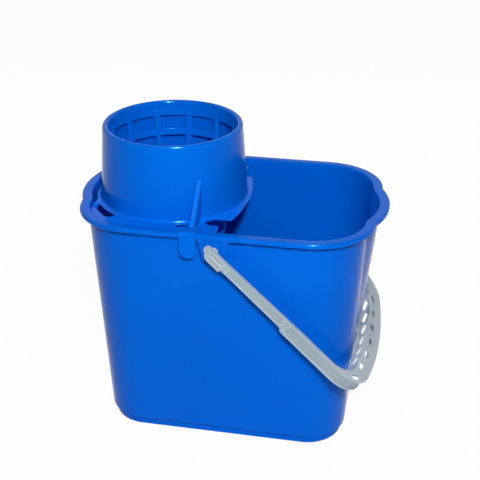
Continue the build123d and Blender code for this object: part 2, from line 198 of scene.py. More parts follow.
moulding = {
    # noises are scale, detail, roughness
    "flow": (9.0, 3.0, 0.5), "flowRange": (0.3, 0.7),         # slow pigment flow
    "scuff": (60.0, 6.0, 0.7), "scuffRange": (0.35, 0.75),    # handling marks dull the gloss
    "wave": (26.0, 1.0, 0.4), "waveStrength": 0.05, "waveDepth": 0.004,  # sink over large faces
    "skinDetail": 2.0, "skinRough": 0.5, "skinDepth": 0.0004,            # fine skin of the tool
    # ranges of pointiness: outer edges lightened as painted highlight and wear, inside corners
    # darkened as painted shade
    "edgeHighlightAndWearRange": (0.51, 0.60), "paintedCornerShadeRange": (0.42, 0.49), "paintedCornerShadeTone": 0.45,
    "ior": 1.49, "specular": 0.08, "glowRadius": 0.006,
}
# in each look the lighter edge colour is painted highlight and wear, and the corner darkening is
# painted shade
bucketLook = {
    "light": (0.0, 0.130, 0.68), "dark": (0.0, 0.118, 0.64), "edgeHighlightAndWearColour": (0.0, 0.19, 0.86),
    "edgeHighlightAndWear": 0.25, "paintedCornerShade": 0.65, "sheen": (0.1, 0.5, 1.0), "gloss": (0.12, 0.18),
    "skinScale": 700.0, "skinStrength": 0.03, "glow": 0.0,
}
wringerLook = {
    "light": (0.0, 0.138, 0.70), "dark": (0.0, 0.126, 0.66), "edgeHighlightAndWearColour": (0.0, 0.20, 0.88),
    "edgeHighlightAndWear": 0.4, "paintedCornerShade": 0.65, "sheen": (0.1, 0.5, 1.0), "gloss": (0.10, 0.16),
    "skinScale": 700.0, "skinStrength": 0.03, "glow": 0.0,
}
handleLook = {
    "light": (0.37, 0.455, 0.50), "dark": (0.32, 0.405, 0.45), "edgeHighlightAndWearColour": (0.60, 0.66, 0.69),
    "edgeHighlightAndWear": 0.8, "paintedCornerShade": 0.18, "sheen": (1.0, 1.0, 1.0), "gloss": (0.34, 0.46),
    "skinScale": 600.0, "skinStrength": 0.06, "glow": 0.25,
}


def mouldedPlastic(name, look):
    mat = bpy.data.materials.new(name)
    mat.use_nodes = True
    nodes, links = mat.node_tree.nodes, mat.node_tree.links
    shader = nodes["Principled BSDF"]
    coords = nodes.new("ShaderNodeTexCoord")

    def noise(scale, detail, rough):
        tex = nodes.new("ShaderNodeTexNoise")
        tex.inputs["Scale"].default_value = scale
        tex.inputs["Detail"].default_value = detail
        tex.inputs["Roughness"].default_value = rough
        links.new(coords.outputs["Object"], tex.inputs["Vector"])
        return tex.outputs["Fac"]

    def spread(source, fromRange, toLow, toHigh):
        node = nodes.new("ShaderNodeMapRange")
        node.inputs["From Min"].default_value = fromRange[0]
        node.inputs["From Max"].default_value = fromRange[1]
        node.inputs["To Min"].default_value = toLow
        node.inputs["To Max"].default_value = toHigh
        links.new(source, node.inputs["Value"])
        return node.outputs["Result"]

    def blendTo(colour, share):
        mix = nodes.new("ShaderNodeMix")
        mix.data_type = "RGBA"
        mix.inputs["B"].default_value = (*colour, 1.0)
        links.new(share, mix.inputs["Factor"])
        return mix

    def bump(height, strength, depth):
        node = nodes.new("ShaderNodeBump")
        node.inputs["Strength"].default_value = strength
        node.inputs["Distance"].default_value = depth
        links.new(height, node.inputs["Height"])
        return node

    flow = blendTo(look["light"], spread(noise(*moulding["flow"]), moulding["flowRange"], 0.0, 1.0))
    flow.inputs["A"].default_value = (*look["dark"], 1.0)
    edges = nodes.new("ShaderNodeNewGeometry").outputs["Pointiness"]
    # painted shade: inside corners and recesses are darkened by pointiness, where shade falls
    paintedCornerShadeColour = [moulding["paintedCornerShadeTone"] * c for c in look["dark"]]
    paintedCornerShadeMix = blendTo(paintedCornerShadeColour, spread(edges, moulding["paintedCornerShadeRange"], look["paintedCornerShade"], 0.0))
    # painted highlight and wear: outer edges are lightened by pointiness
    edgeHighlightAndWearMix = blendTo(look["edgeHighlightAndWearColour"], spread(edges, moulding["edgeHighlightAndWearRange"], 0.0, look["edgeHighlightAndWear"]))
    links.new(flow.outputs["Result"], paintedCornerShadeMix.inputs["A"])
    links.new(paintedCornerShadeMix.outputs["Result"], edgeHighlightAndWearMix.inputs["A"])
    links.new(edgeHighlightAndWearMix.outputs["Result"], shader.inputs["Base Color"])

    scuff = noise(*moulding["scuff"])
    dulled = spread(scuff, moulding["scuffRange"], look["gloss"][0], look["gloss"][1])
    links.new(dulled, shader.inputs["Roughness"])

    skin = noise(look["skinScale"], moulding["skinDetail"], moulding["skinRough"])
    fine = bump(skin, look["skinStrength"], moulding["skinDepth"])
    broad = bump(noise(*moulding["wave"]), moulding["waveStrength"], moulding["waveDepth"])
    links.new(fine.outputs["Normal"], broad.inputs["Normal"])
    links.new(broad.outputs["Normal"], shader.inputs["Normal"])
    shader.inputs["IOR"].default_value = moulding["ior"]
    shader.inputs["Specular IOR Level"].default_value = moulding["specular"]
    shader.inputs["Specular Tint"].default_value = (*look["sheen"], 1.0)
    if look["glow"]:
        shader.inputs["Subsurface Weight"].default_value = look["glow"]
        shader.inputs["Subsurface Radius"].default_value = [moulding["glowRadius"]] * 3
        shader.inputs["Subsurface Scale"].default_value = 1.0
    return mat


bucketPlastic = mouldedPlastic("bucketPlastic", bucketLook)
wringerPlastic = mouldedPlastic("wringerPlastic", wringerLook)
handlePlastic = mouldedPlastic("handlePlastic", handleLook)
print("plastics ready")


# bucket: rings of one plan, stacked from the foot over the rim and down to the floor

tub = {
    "length": 349.0, "width": 244.0, "corner": 73.0, "height": 288.0,
    "wall": 2.5, "floor": 3.0, "overhang": 9.6, "lean": 15.0,
    "foot": 11.5, "footInset": 4.5, "footWall": 3.0, "rimThick": 2.5, "rimDrop": 5.6,
    "lipRadius": 114.0, "lipCentre": 72.0, "lipBlend": 1.0,
    "spoutCentre": 49.216, "spoutSlope": 0.109539, "spoutFrom": 80.0, "spoutBlend": 2.0,
    "endFacing": 0.5,    # how far a spot faces along the bucket to count as part of an end
    # stations of a quarter plan: steps on the end, degrees round the corner, places on the side
    "endSteps": 30, "cornerTurns": [*range(26), *range(26, 91, 4)],
    "sideStops": [
        78.0, 66.0, 54.0, 44.0, 36.0, 30.0, 26.0,
        *[24.0 - 0.75 * i for i in range(21)], 6.0, 3.0, 0.0,
    ],
    "wallRings": [30.0 + 20.0 * i for i in range(13)],
    # radius and segments of the rounded edges
    "rounds": {
        "footRoof": (1.0, 3), "footInside": (1.0, 3), "footOutside": (1.4, 3),
        "footTop": (0.8, 3), "wallFoot": (1.3, 4), "wallTop": (1.0, 3),
        "rimBack": (0.8, 3), "rimBackLow": (0.7, 3), "rimFrontLow": (0.9, 3),
        "rimTop": (2.8, 5), "mouth": (2.2, 4), "floor": (9.0, 6),
    },
}
ear = {
    "bottom": 256.0, "topHalf": 18.0, "bottomHalf": 11.5, "fillet": 6.0, "round": 3.0,
    "plate": 3.5, "plateHalf": 21.0, "plateFade": 4.0, "reach": 30.0,
    "recessHalf": 9.76, "recess": 1.2, "recessTop": 0.4, "recessRim": 1.4, "recessSlope": 0.8,
    "bore": 4.05, "pivot": 268.5,
}
earRib = {
    "thick": 2.3, "above": 0.8, "lift": 1.2, "spread": 0.35, "sink": 0.3,
    "front": 1.6, "back": 10.6,
}
ledge = {
    "wallAt": 280.0, "sink": 1.0, "width": 7.0, "low": 271.7, "top": 279.7, "nose": 274.0,
    "start": 1.0, "turn": 26.0, "steps": 8, "round": 0.8, "sharp": 60.0,
}
coreX = tub["length"] / 2 - tub["corner"]
coreY = tub["width"] / 2 - tub["corner"]
lipLine = tub["height"] - tub["rimDrop"]


def planStations():
    # quarter of the plan from the middle of an end to the middle of a long side, then mirrored
    half, steps = tub["length"] / 2, tub["endSteps"]
    quarter = [(half, coreY * i / steps) for i in range(steps)]
    for angle in tub["cornerTurns"]:
        turn = radians(angle)
        x, y = coreX + tub["corner"] * cos(turn), coreY + tub["corner"] * sin(turn)
        quarter.append((x, y))
    quarter += [(x, tub["width"] / 2) for x in tub["sideStops"]]
    upper = quarter + [(-x, y) for x, y in reversed(quarter[:-1])]
    return upper + [(x, -y) for x, y in reversed(upper[1:-1])]


def leanAt(z):
    return tub["lean"] * (tub["height"] - z) / (tub["height"] - tub["foot"])


def wallIn(z):
    return tub["overhang"] + leanAt(z)


def smoothMax(a, b, blend):
    near = max(blend - abs(a - b), 0.0)
    return max(a, b) + near * near / (4 * blend)


def tubPoint(plan, inset, z, onWall):
    # plan point moved in by an inset, with the spout or lip drawn out of the ends
    x, y = plan
    core = Vector((min(max(x, -coreX), coreX), min(max(y, -coreY), coreY)))
    out = (Vector(plan) - core).normalized()
    x, y = Vector(plan) - out * inset
    if abs(out.x) > tub["endFacing"]:
        centre = tub["lipCentre"]
        nose = tub["lipRadius"] - inset
        blend = tub["lipBlend"]
        if onWall:
            centre = tub["spoutCentre"] + tub["spoutSlope"] * (z - tub["spoutFrom"])
            nose += leanAt(z)
            blend = tub["spoutBlend"]
        if abs(y) < nose:
            reach = smoothMax(abs(x), centre + sqrt(nose * nose - y * y), blend)
            x = reach if x > 0 else -reach
    return Vector((x, y, z))


def earBottom(plan):
    # height of the rim's lower edge, which runs down round an ear on each long side
    x = abs(plan[0])
    slope = (lipLine - ear["bottom"]) / (ear["topHalf"] - ear["bottomHalf"])
    steep = sqrt(1 + slope * slope)
    topX = ear["topHalf"] + ear["fillet"] * (steep - 1) / slope
    if abs(plan[1]) < tub["width"] / 2 - onPlane or x >= topX:
        return lipLine
    topStart = topX - ear["fillet"] * slope / steep
    lowX = ear["bottomHalf"] - ear["round"] * (steep - 1) / slope
    if x > topStart:
        return lipLine - ear["fillet"] + sqrt(ear["fillet"] ** 2 - (x - topX) ** 2)
    if x <= lowX:
        return ear["bottom"]
    if x < lowX + ear["round"] * slope / steep:
        return ear["bottom"] + ear["round"] - sqrt(ear["round"] ** 2 - (x - lowX) ** 2)
    return ear["bottom"] + (x - ear["bottomHalf"]) * slope


def onEar(plan, half):
    return abs(plan[1]) > tub["width"] / 2 - onPlane and abs(plan[0]) <= half


def earBack(plan):
    # how far the rim's back face is behind its front, more behind an ear
    share = 0.0
    if onEar(plan, ear["reach"]):
        share = min(max((ear["plateHalf"] - abs(plan[0])) / ear["plateFade"], 0.0), 1.0)
    return tub["rimThick"] + (ear["plate"] - tub["rimThick"]) * share


def earFront(plan):
    return ear["recess"] if onEar(plan, ear["recessHalf"]) else 0.0


def recessLine(plan):
    return max(lipLine - ear["recessTop"], earBottom(plan) + ear["recessRim"])


def recessRise(plan):
    return recessLine(plan) + ear["recessSlope"]


def tubPart():
    bm = bmesh.new()
    stations = planStations()
    ring = circleRing(bm, len(stations))
    bevels = []

    def lay(inset, z, onWall=False, edge=None, extrude=True):
        nonlocal ring
        ring = nextRing(bm, ring) if extrude else ring
        points = []
        for plan in stations:
            depth = inset(plan) if callable(inset) else inset
            height = z(plan) if callable(z) else z
            points.append(tubPoint(plan, depth, height, onWall))
        placeRing(ring, points)
        if edge:
            bevels.append((ring, *tub["rounds"][edge]))

    top, foot, wall = tub["height"], tub["foot"], tub["wall"]
    footIn = wallIn(foot) + tub["footInset"]
    under = top - tub["rimThick"]
    bottom = foot + tub["floor"]
    lay(footIn + tub["footWall"], foot, True, "footRoof", extrude=False)
    bm.faces.new(ring)
    lay(footIn + tub["footWall"], 0.0, True, "footInside")
    lay(footIn, 0.0, True, "footOutside")
    lay(footIn, foot, True, "footTop")
    lay(wallIn(foot), foot, True, "wallFoot")
    for z in tub["wallRings"]:
        lay(wallIn(z), z, True)
    lay(wallIn(under), under, True, "wallTop")
    lay(earBack, under, False, "rimBack")
    lay(earBack, earBottom, False, "rimBackLow")
    lay(earFront, earBottom, False, "rimFrontLow")
    lay(earFront, recessLine)
    lay(0.0, recessRise)
    lay(0.0, top, False, "rimTop")
    lay(wallIn(top) + wall, top, True, "mouth")
    for z in reversed(tub["wallRings"]):
        lay(wallIn(z) + wall, z, True)
    lay(wallIn(bottom) + wall, bottom, True, "floor")
    bm.faces.new(ring)
    bmesh.ops.recalc_face_normals(bm, faces=bm.faces)
    for edgeRing, width, segments in bevels:
        bevelEdges(bm, ringEdges(bm, edgeRing), width, segments)
    return bm


def boreEar(bm, side):
    # bore for a stud of the handle, through the recess of an ear
    half, wide = tub["width"] / 2, 2 * ear["bore"]
    front, back = half - ear["recess"], half - ear["plate"]
    bore = ovalRing(bm, lambda a, b: Vector((a, side * front, ear["pivot"] + b)), wide, wide)
    inner = nextRing(bm, bore)
    for vert in inner:
        vert.co.y = side * back
    for depth, opening in ((front, bore), (back, inner)):
        def onFace(v):
            return abs(v.co.y - side * depth) < onPlane and abs(v.co.x) < ear["recessHalf"]
        pierce(bm, [f for f in bm.faces if all(map(onFace, f.verts))], [opening])


def earRibPart(side, hand):
    # rib from an ear to the wall
    bm = bmesh.new()
    bmesh.ops.create_cube(bm, size=2.0)
    for vert in bm.verts:
        a, b, c = vert.co
        z, edge = ear["bottom"] + earRib["lift"], ear["bottomHalf"] + earRib["spread"]
        if c > 0:
            z, edge = tub["height"] - tub["rimThick"] + earRib["above"], ear["topHalf"]
        aside = earRib["sink"] if a > 0 else earRib["thick"]
        behind = earRib["front"] if b > 0 else earRib["back"]
        vert.co = (hand * (edge - aside), side * (tub["width"] / 2 - behind), z)
    return bm


def ledgePart(side):
    # ledge in a corner at the wringer's end
    bm = bmesh.new()
    corner = Vector((-coreX, side * coreY, 0.0))
    outer = tub["corner"] - wallIn(ledge["wallAt"]) - tub["wall"] + ledge["sink"]
    inner = outer - ledge["width"]
    low, top, nose = ledge["low"], ledge["top"], ledge["nose"]
    start = radians(180 + side * ledge["start"])
    outline = [(outer, low), (outer, top), (inner, top), (inner, nose)]
    spots = [corner + Vector((r * cos(start), r * sin(start), z)) for r, z in outline]
    verts = [bm.verts.new(spot) for spot in spots]
    face = bm.faces.new(verts)
    bmesh.ops.spin(
        bm, geom=[face], cent=corner, axis=(0, 0, 1), angle=radians(-side * ledge["turn"]),
        steps=ledge["steps"],
    )
    if not any(set(f.verts) == set(verts) for f in bm.faces):
        bm.faces.new(verts)    # the spin takes the first face along
    bmesh.ops.recalc_face_normals(bm, faces=bm.faces)
    softenEdges(bm, ledge["round"], 2, ledge["sharp"])
    return bm


def buildBucket():
    shell = tubPart()
    for side in (1, -1):
        boreEar(shell, side)
    whole = bmesh.new()
    joinPart(whole, shell)
    for side in (1, -1):
        for hand in (1, -1):
            joinPart(whole, earRibPart(side, hand))
    for side in (1, -1):
        joinPart(whole, ledgePart(side))
    finishPiece(whole, "tubShell", "bucket", "bucket", bucketPlastic)


# wringer: collar, basket, seat plate, gussets and hooks

press = {
    "axis": -74.134, "collarTop": 373.3, "collarRadius": 82.866, "bead": 6.5, "trim": 0.05,
    "skirtRadius": 88.766, "flare": 4.2, "skirtWall": 2.5, "seatTop": 283.0, "seatThick": 3.0,
    "flangeReach": 0.6, "flangeThick": 0.8, "collarLift": 0.1, "collarRound": 0.8,
    "hollowTop": 7.0, "hollowRound": 0.7, "steps": 120,
    "cornerSteps": ((5.0, 10), (2.0, 6), (0.0, 3)),    # segments for radii above a size
    "basketTop": 76.366, "basketTaper": 23.4, "basketBottom": 200.0, "basketWall": 3.6,
    "bandBottom": 354.6, "bandInset": 0.8,
    "ringHeight": 8.7, "ringPitch": 24.7, "ringCount": 5, "ringInset": 1.3, "ringRound": 0.9,
    "barCount": 12, "barWidth": 7.2, "barDepth": 2.4, "barTop": 362.6, "barLift": 0.4,
    "barRound": 1.7, "barRoundSteps": 4,
    "drainRadius": 7.0, "drainCircle": 31.0, "drainCount": 8, "drainCut": 0.6,
    "basketFloor": 3.0, "floorRounds": (1.2, 0.8, 0.8, 1.4),
}
seat = {
    "halfLength": 160.466, "halfWidth": 107.966, "corner": 58.966,
    "edge": 18.43, "edgeRadius": 240.0, "edgeCuts": 24, "edgeRound": 3.0,
    "notchX": -9.0, "notchY": 73.966, "notchHalf": 9.5,
    "stripX": -1.0, "stripRounds": (2.0, 1.5),
    "cornerSteps": ((40.0, 28), (5.0, 10), (0.0, 4)), "soften": 0.9, "sharp": 60.0,
    "cornerSlot": (43.0, 14.6), "cornerSlotAt": (-142.6, 66.4), "cornerSlotTurn": 49.0,
    "smallSlot": (15.4, 10.4), "smallSlotAt": (-43.9, 89.7), "smallSlotTurn": 0.0,
    "slotCut": 0.6,
}
gusset = {
    "x": -28.0, "lean": 2.5, "top": 335.0, "foot": 103.466, "high": 288.0, "sink": 1.5,
    "half": 3.6, "tipHalf": 2.8, "soften": 1.1, "sharp": 20.0, "largeFace": 40.0, "margin": 0.8,
}
hook = {
    "x": -28.5, "half": 9.5, "thick": 2.3, "strap": 288.3, "tab": 122.3, "drop": 259.5,
    "lift": 0.2, "topRounds": (2.4, 2.9), "underRounds": (0.6, 0.3), "cornerSteps": ((0.0, 5),),
    "round": 9.0, "roundSteps": 10, "soften": 0.6, "sharp": 50.0, "largeFace": 40.0, "margin": 1.0,
}
pressAxis = Vector((press["axis"], 0.0, 0.0))


def basketRadius(z):
    share = (z - press["basketBottom"]) / (press["collarTop"] - press["basketBottom"])
    return press["basketTop"] - press["basketTaper"] * (1 - share)


def skirtRadius(z):
    low = press["seatTop"] + press["flare"]
    share = (z - low) / (press["collarTop"] - press["bead"] / 2 - low)
    return press["skirtRadius"] - (press["skirtRadius"] - press["collarRadius"]) * share


def spinOutline(corners):
    # corners are radius, height and rounding; spun into a closed ring
    bm = bmesh.new()
    verts = [bm.verts.new((press["axis"] + r, 0.0, z)) for r, z, rounding in corners]
    bm.faces.new(verts)
    roundCorners(bm, verts, corners, press["cornerSteps"])
    bmesh.ops.delete(bm, geom=bm.faces[:], context="FACES_ONLY")
    bmesh.ops.spin(
        bm, geom=bm.verts[:] + bm.edges[:], cent=pressAxis, axis=(0, 0, 1),
        angle=2 * pi, steps=press["steps"], use_merge=True,
    )
    return bm


def collarPart():
    top, wall, seatTop = press["collarTop"], press["skirtWall"], press["seatTop"]
    inner, outer, skirt = press["basketTop"], press["collarRadius"], press["skirtRadius"]
    bead = press["bead"] / 2 - press["trim"]
    flange = skirt + press["flare"] + press["flangeReach"]
    flangeTop, flangeLow = seatTop - press["trim"], seatTop - press["flangeThick"]
    low, lowRound = seatTop - press["seatThick"] + press["collarLift"], press["collarRound"]
    hollow, hollowRound = top - press["hollowTop"], press["hollowRound"]
    bandLow, bandRound = press["bandBottom"], press["ringRound"]
    band = basketRadius(bandLow) + press["bandInset"]
    return spinOutline([
        (inner, top, bead), (outer, top, bead), (skirtRadius(seatTop), flangeTop, press["flare"]),
        (flange, flangeTop, 0.0), (flange, flangeLow, 0.0), (skirt, flangeLow, 0.0),
        (skirt, low, lowRound), (skirt - wall, low, lowRound),
        (outer - wall, hollow, hollowRound), (inner + wall, hollow, hollowRound),
        (band + wall, bandLow, bandRound), (band, bandLow, bandRound),
    ])


def ringParts():
    inside, outside = press["ringInset"], press["basketWall"]
    for i in range(press["ringCount"]):
        top = press["bandBottom"] - press["ringPitch"] * (i + 1) + press["ringHeight"]
        low = top - press["ringHeight"]
        outline = [(top, inside), (top, outside), (low, outside), (low, inside)]
        yield spinOutline([(basketRadius(z) + out, z, press["ringRound"]) for z, out in outline])


def floorPart():
    bm = bmesh.new()
    low = press["basketBottom"]
    high, floorTop = low + press["ringHeight"], low + press["basketFloor"]
    inside, outside = press["ringInset"], press["basketWall"]
    outline = [(low, outside), (high, outside), (high, inside), (floorTop, inside)]
    ring = circleRing(bm, press["steps"])
    around = [v.co.copy() for v in ring]
    rings = []
    for i, (z, out) in enumerate(outline):
        ring = nextRing(bm, ring) if i else ring
        radius = basketRadius(z) + out
        placeRing(ring, [pressAxis + p * radius + Vector((0, 0, z)) for p in around])
        rings.append(ring)
        if i in (0, len(outline) - 1):
            bm.faces.new(ring)
    bmesh.ops.recalc_face_normals(bm, faces=bm.faces)
    for ring, rounding in zip(rings, press["floorRounds"]):
        bevelEdges(bm, ringEdges(bm, ring), rounding, 3)

    # drain holes, one in the middle and the rest round it
    spots = [(0.0, 0.0)]
    for i in range(press["drainCount"]):
        turn = 2 * pi * i / press["drainCount"]
        spots.append((press["drainCircle"] * cos(turn), press["drainCircle"] * sin(turn)))
    wide = 2 * press["drainRadius"]
    mouth = wide + 2 * press["drainCut"]
    lowRings, topRings = [], []
    for sx, sy in spots:
        middle = pressAxis + Vector((sx, sy, 0.0))
        hole = ovalRing(
            bm, lambda a, b: pressAxis + Vector((sx + a, sy + b, floorTop)), mouth, mouth,
        )
        topRings.append(hole)
        for shrink, z in ((wide / mouth, floorTop - press["drainCut"]), (1.0, low)):
            hole = nextRing(bm, hole)
            for v in hole:
                x = middle.x + (v.co.x - middle.x) * shrink
                y = middle.y + (v.co.y - middle.y) * shrink
                v.co = (x, y, z)
        lowRings.append(hole)
    pierce(bm, plateFaces(bm, low), lowRings)
    pierce(bm, plateFaces(bm, floorTop), topRings)
    return bm


def barPart():
    bm = bmesh.new()
    bmesh.ops.create_cube(bm, size=2.0)
    low, high = press["basketBottom"] + press["barLift"], press["barTop"]
    inside = []
    for v in bm.verts:
        a, b, c = v.co
        z = high if c > 0 else low
        radius = basketRadius(z) + (press["barDepth"] if a > 0 else 0.0)
        if a < 0:
            inside.append(v)
        v.co = (press["axis"] + radius, b * press["barWidth"] / 2, z)
    edges = [e for e in bm.edges if all(v in inside for v in e.verts)]
    bevelEdges(bm, edges, press["barRound"], press["barRoundSteps"])
    count = press["barCount"]
    bmesh.ops.spin(
        bm, geom=bm.verts[:] + bm.edges[:] + bm.faces[:], cent=pressAxis, axis=(0, 0, 1),
        angle=2 * pi * (count - 1) / count, steps=count - 1, use_duplicate=True,
    )
    return bm


def seatPart():
    bm = bmesh.new()
    top = press["seatTop"]
    low = top - press["seatThick"]
    reach, wide, strip = seat["halfLength"], seat["halfWidth"], seat["stripX"]
    notchLow, notchHigh = seat["notchY"] - seat["notchHalf"], seat["notchY"] + seat["notchHalf"]
    notchEnd, notchRound = seat["notchX"] - seat["notchHalf"], seat["notchHalf"] - press["trim"]
    arcX = seat["edge"] - seat["edgeRadius"]

    def edgeX(y):
        return arcX + sqrt(seat["edgeRadius"] ** 2 - y * y)

    half = [
        (edgeX(notchLow), notchLow, seat["edgeRound"]), (notchEnd, notchLow, notchRound),
        (notchEnd, notchHigh, notchRound), (strip, notchHigh, seat["stripRounds"][0]),
        (strip, wide, seat["stripRounds"][1]), (-reach, wide, seat["corner"]),
    ]
    corners = half + [(x, -y, rounding) for x, y, rounding in reversed(half)]
    verts = [bm.verts.new((x, y, top)) for x, y, rounding in corners]
    bm.faces.new(verts)
    right = bm.edges.get((verts[0], verts[-1]))
    cuts = bmesh.ops.subdivide_edges(bm, edges=[right], cuts=seat["edgeCuts"])["geom_inner"]
    for v in onlyVerts(cuts):
        v.co.x = edgeX(v.co.y)
    verts = [
        min(bm.verts, key=lambda v: abs(v.co.x - x) + abs(v.co.y - y))
        for x, y, rounding in corners
    ]
    roundCorners(bm, verts, corners, seat["cornerSteps"])
    made = bmesh.ops.extrude_face_region(bm, geom=bm.faces[:])["geom"]
    bmesh.ops.translate(bm, vec=(0, 0, low - top), verts=onlyVerts(made))
    if not plateFaces(bm, top):
        bmesh.ops.contextual_create(bm, geom=[e for e in bm.edges if e.is_boundary])
    bmesh.ops.recalc_face_normals(bm, faces=bm.faces)
    outline = [
        e for e in sharpEdges(bm, seat["sharp"])
        if abs(e.verts[0].co.z - e.verts[1].co.z) < onPlane
    ]
    bevelEdges(bm, outline, seat["soften"], 3)

    # the round opening under the collar, then the slots
    size = 2 * (press["skirtRadius"] - press["skirtWall"] / 2)
    hole = ovalRing(
        bm, lambda a, b: pressAxis + Vector((a, b, top)), size, size, press["steps"],
    )
    topRings, lowRings = [hole], [ringDownTo(bm, hole, low)]
    for side in (1, -1):
        for slot in ("cornerSlot", "smallSlot"):
            turn = radians(side * seat[slot + "Turn"])
            sx, sy = seat[slot + "At"]
            spot = Vector((sx, side * sy, 0.0))

            def place(a, b, z):
                x, y = a * cos(turn) - b * sin(turn), a * sin(turn) + b * cos(turn)
                return spot + Vector((x, y, z))
            mouth, throat = chamferedSlot(bm, place, top, *seat[slot], seat["slotCut"])
            topRings.append(mouth)
            lowRings.append(ringDownTo(bm, throat, low))
    pierce(bm, plateFaces(bm, low), lowRings)
    pierce(bm, plateFaces(bm, top), topRings)
    return bm


def gussetPart():
    bm = bmesh.new()
    bmesh.ops.create_cube(bm, size=2.0)
    for v in bm.verts:
        a, b, c = v.co
        root, high = b < 0, c > 0
        x, y = gusset["x"] + a * gusset["half"], gusset["foot"]
        z = press["seatTop"] - gusset["sink"]
        if high:
            z = gusset["top"] if root else gusset["high"]
        if root and high:
            x = gusset["x"] + a * gusset["tipHalf"] + gusset["lean"]
        if root:
            radius = skirtRadius(max(z, press["seatTop"] + press["flare"])) - press["skirtWall"] / 2
            y = sqrt(radius ** 2 - (x - press["axis"]) ** 2)
        v.co = (x, y, z)
    softenEdges(bm, gusset["soften"], 3, gusset["sharp"])
    insetFaces(bm, gusset["largeFace"], gusset["margin"])
    return bm


def hookPart():
    bm = bmesh.new()
    inner, seatEdge = seat["halfWidth"] - hook["thick"], seat["halfWidth"]
    strap, strapTop = hook["strap"], hook["strap"] + hook["thick"]
    tab, outer, drop = hook["tab"], hook["tab"] + hook["thick"], hook["drop"]
    low = press["seatTop"] - press["seatThick"] + hook["lift"]
    topInner, topOuter = hook["topRounds"]
    underOuter, underInner = hook["underRounds"]
    corners = [
        (inner, low, 0.0), (inner, strapTop, topInner), (outer, strapTop, topOuter),
        (outer, drop, 0.0), (tab, drop, 0.0), (tab, strap, underOuter),
        (seatEdge, strap, underInner), (seatEdge, low, 0.0),
    ]
    verts = [bm.verts.new((hook["x"] - hook["half"], y, z)) for y, z, rounding in corners]
    bm.faces.new(verts)
    roundCorners(bm, verts, corners, hook["cornerSteps"])
    made = bmesh.ops.extrude_face_region(bm, geom=bm.faces[:], use_keep_orig=True)["geom"]
    bmesh.ops.translate(bm, vec=(2 * hook["half"], 0, 0), verts=onlyVerts(made))
    bmesh.ops.recalc_face_normals(bm, faces=bm.faces)
    tips = [
        e for e in bm.edges
        if all(abs(v.co.z - drop) < onPlane for v in e.verts)
        and abs(e.verts[0].co.x - e.verts[1].co.x) < onPlane
    ]
    bevelEdges(bm, tips, hook["round"], hook["roundSteps"])
    softenEdges(bm, hook["soften"], 3, hook["sharp"])
    insetFaces(bm, hook["largeFace"], hook["margin"])
    return bm


def buildWringer():
    whole = bmesh.new()
    for part in (collarPart(), *ringParts(), barPart(), floorPart(), seatPart()):
        joinPart(whole, part)
    for part in (gussetPart(), hookPart()):
        mirrorPart(part, "Y")
        joinPart(whole, part)
    finishPiece(whole, "wringerPress", "wringer", "wringer", wringerPlastic)


# handle: one section drawn along half the bail, mirrored, then pierced

bail = {
    "hang": 44.4, "pivot": 268.5, "armInner": 125.3, "armOuter": 130.5,
    "reach": 229.73, "depth": 21.0, "floor": 2.4, "wall": 2.4, "bow": 459.0,
    "bendInner": 36.0, "bendOuter": 46.0, "half": 8.5, "flange": 2.5,
    "armBelow": 4.8, "armAbove": 5.8, "taperEnd": 140.0, "padRoundEnd": 2.5, "padEnd": 19.0,
    "tipEnd": -11.5, "tipBelow": 3.0, "tipRound": 4.2, "tipStart": -6.5,
    "step": 114.0, "stepEnd": 117.0, "soften": 0.9,
    "groove": 1.6, "grooveSlope": 0.5, "grooveTip": 0.6, "edge": 1.9,
    "grooveFrom": 26.0, "grooveTo": 111.0, "channelFrom": 120.0,
    "hollowFrom": 0.35, "lowShares": (0.3, 0.4, 0.6, 0.7),
    "slot": (17.0, 6.0), "slotPitch": 32.5, "slotRows": 6, "slotInset": 6.8,
    "slotCut": 0.4, "bendSlotInset": 7.0,
    "diamond": (25.5, 11.8), "diamondPitch": 27.0, "diamondCount": 6, "diamondDrop": 1.0,
    "diamondPower": 1.12, "diamondCorners": 24,    # a power above 1 rounds the corners
    "padGroove": (18.0, 3.6), "padRow": 3.3, "padMiddle": 8.0, "padCut": 0.3,
    # where the faces that are pierced lie, from the pivot and from the middle
    "topFrom": 150.0, "roofFrom": 195.0, "gripFrom": 200.0, "gripHalf": 92.0,
    "channelHalf": 84.0, "channelBand": 2.0, "onBow": 0.02, "padPatch": (-3.01, 19.01),
    # sections along the arm, round the bend and along the grip
    "armStops": [
        -11.5, -11.2, -10.6, -9.8, -8.8, -7.3, -6.5, -6.35, -5.9, -5.2, -4.2, -2.8, -1.0, 1.0,
        2.5, 6.0, 12.0, 19.0, 19.5, 22.0, 25.9, 26.3, 26.9, 28.0, 30.0, 33.0, 40.0, 55.0, 70.0,
        85.0, 100.0, 104.0, 107.0, 109.0, 110.1, 110.7, 111.1, 114.0, 115.5, 117.0, 119.9, 120.3,
        121.0, 122.2, 124.0, 126.5, 132.0, 140.0, 152.0, 164.0, 176.0,
    ],
    "bendStops": sorted([i / 16 for i in range(17)] + [0.345, 0.355]),
    "gripStops": [(i + 1) / 14 for i in range(14)],
    "sectionCorners": 12, "longEdges": (0, 1, 2, 7),
}
stud = {
    "shoulder": 6.5, "pin": 4.0, "head": 5.5, "shoulderAt": 121.3, "headAt": 118.0,
    "headThick": 2.0, "sink": 1.0, "shoulderCut": 0.5, "headCut": 0.8, "steps": 32,
}
hang = radians(bail["hang"])
bailU = Vector((cos(hang), 0.0, -sin(hang)))
bailW = Vector((sin(hang), 0.0, cos(hang)))
bowAt = bail["reach"] - bail["bow"]
outerBow = bail["bow"] + bail["depth"]


def bailPoint(u, y, w):
    return Vector((0.0, y, bail["pivot"])) + bailU * u + bailW * w


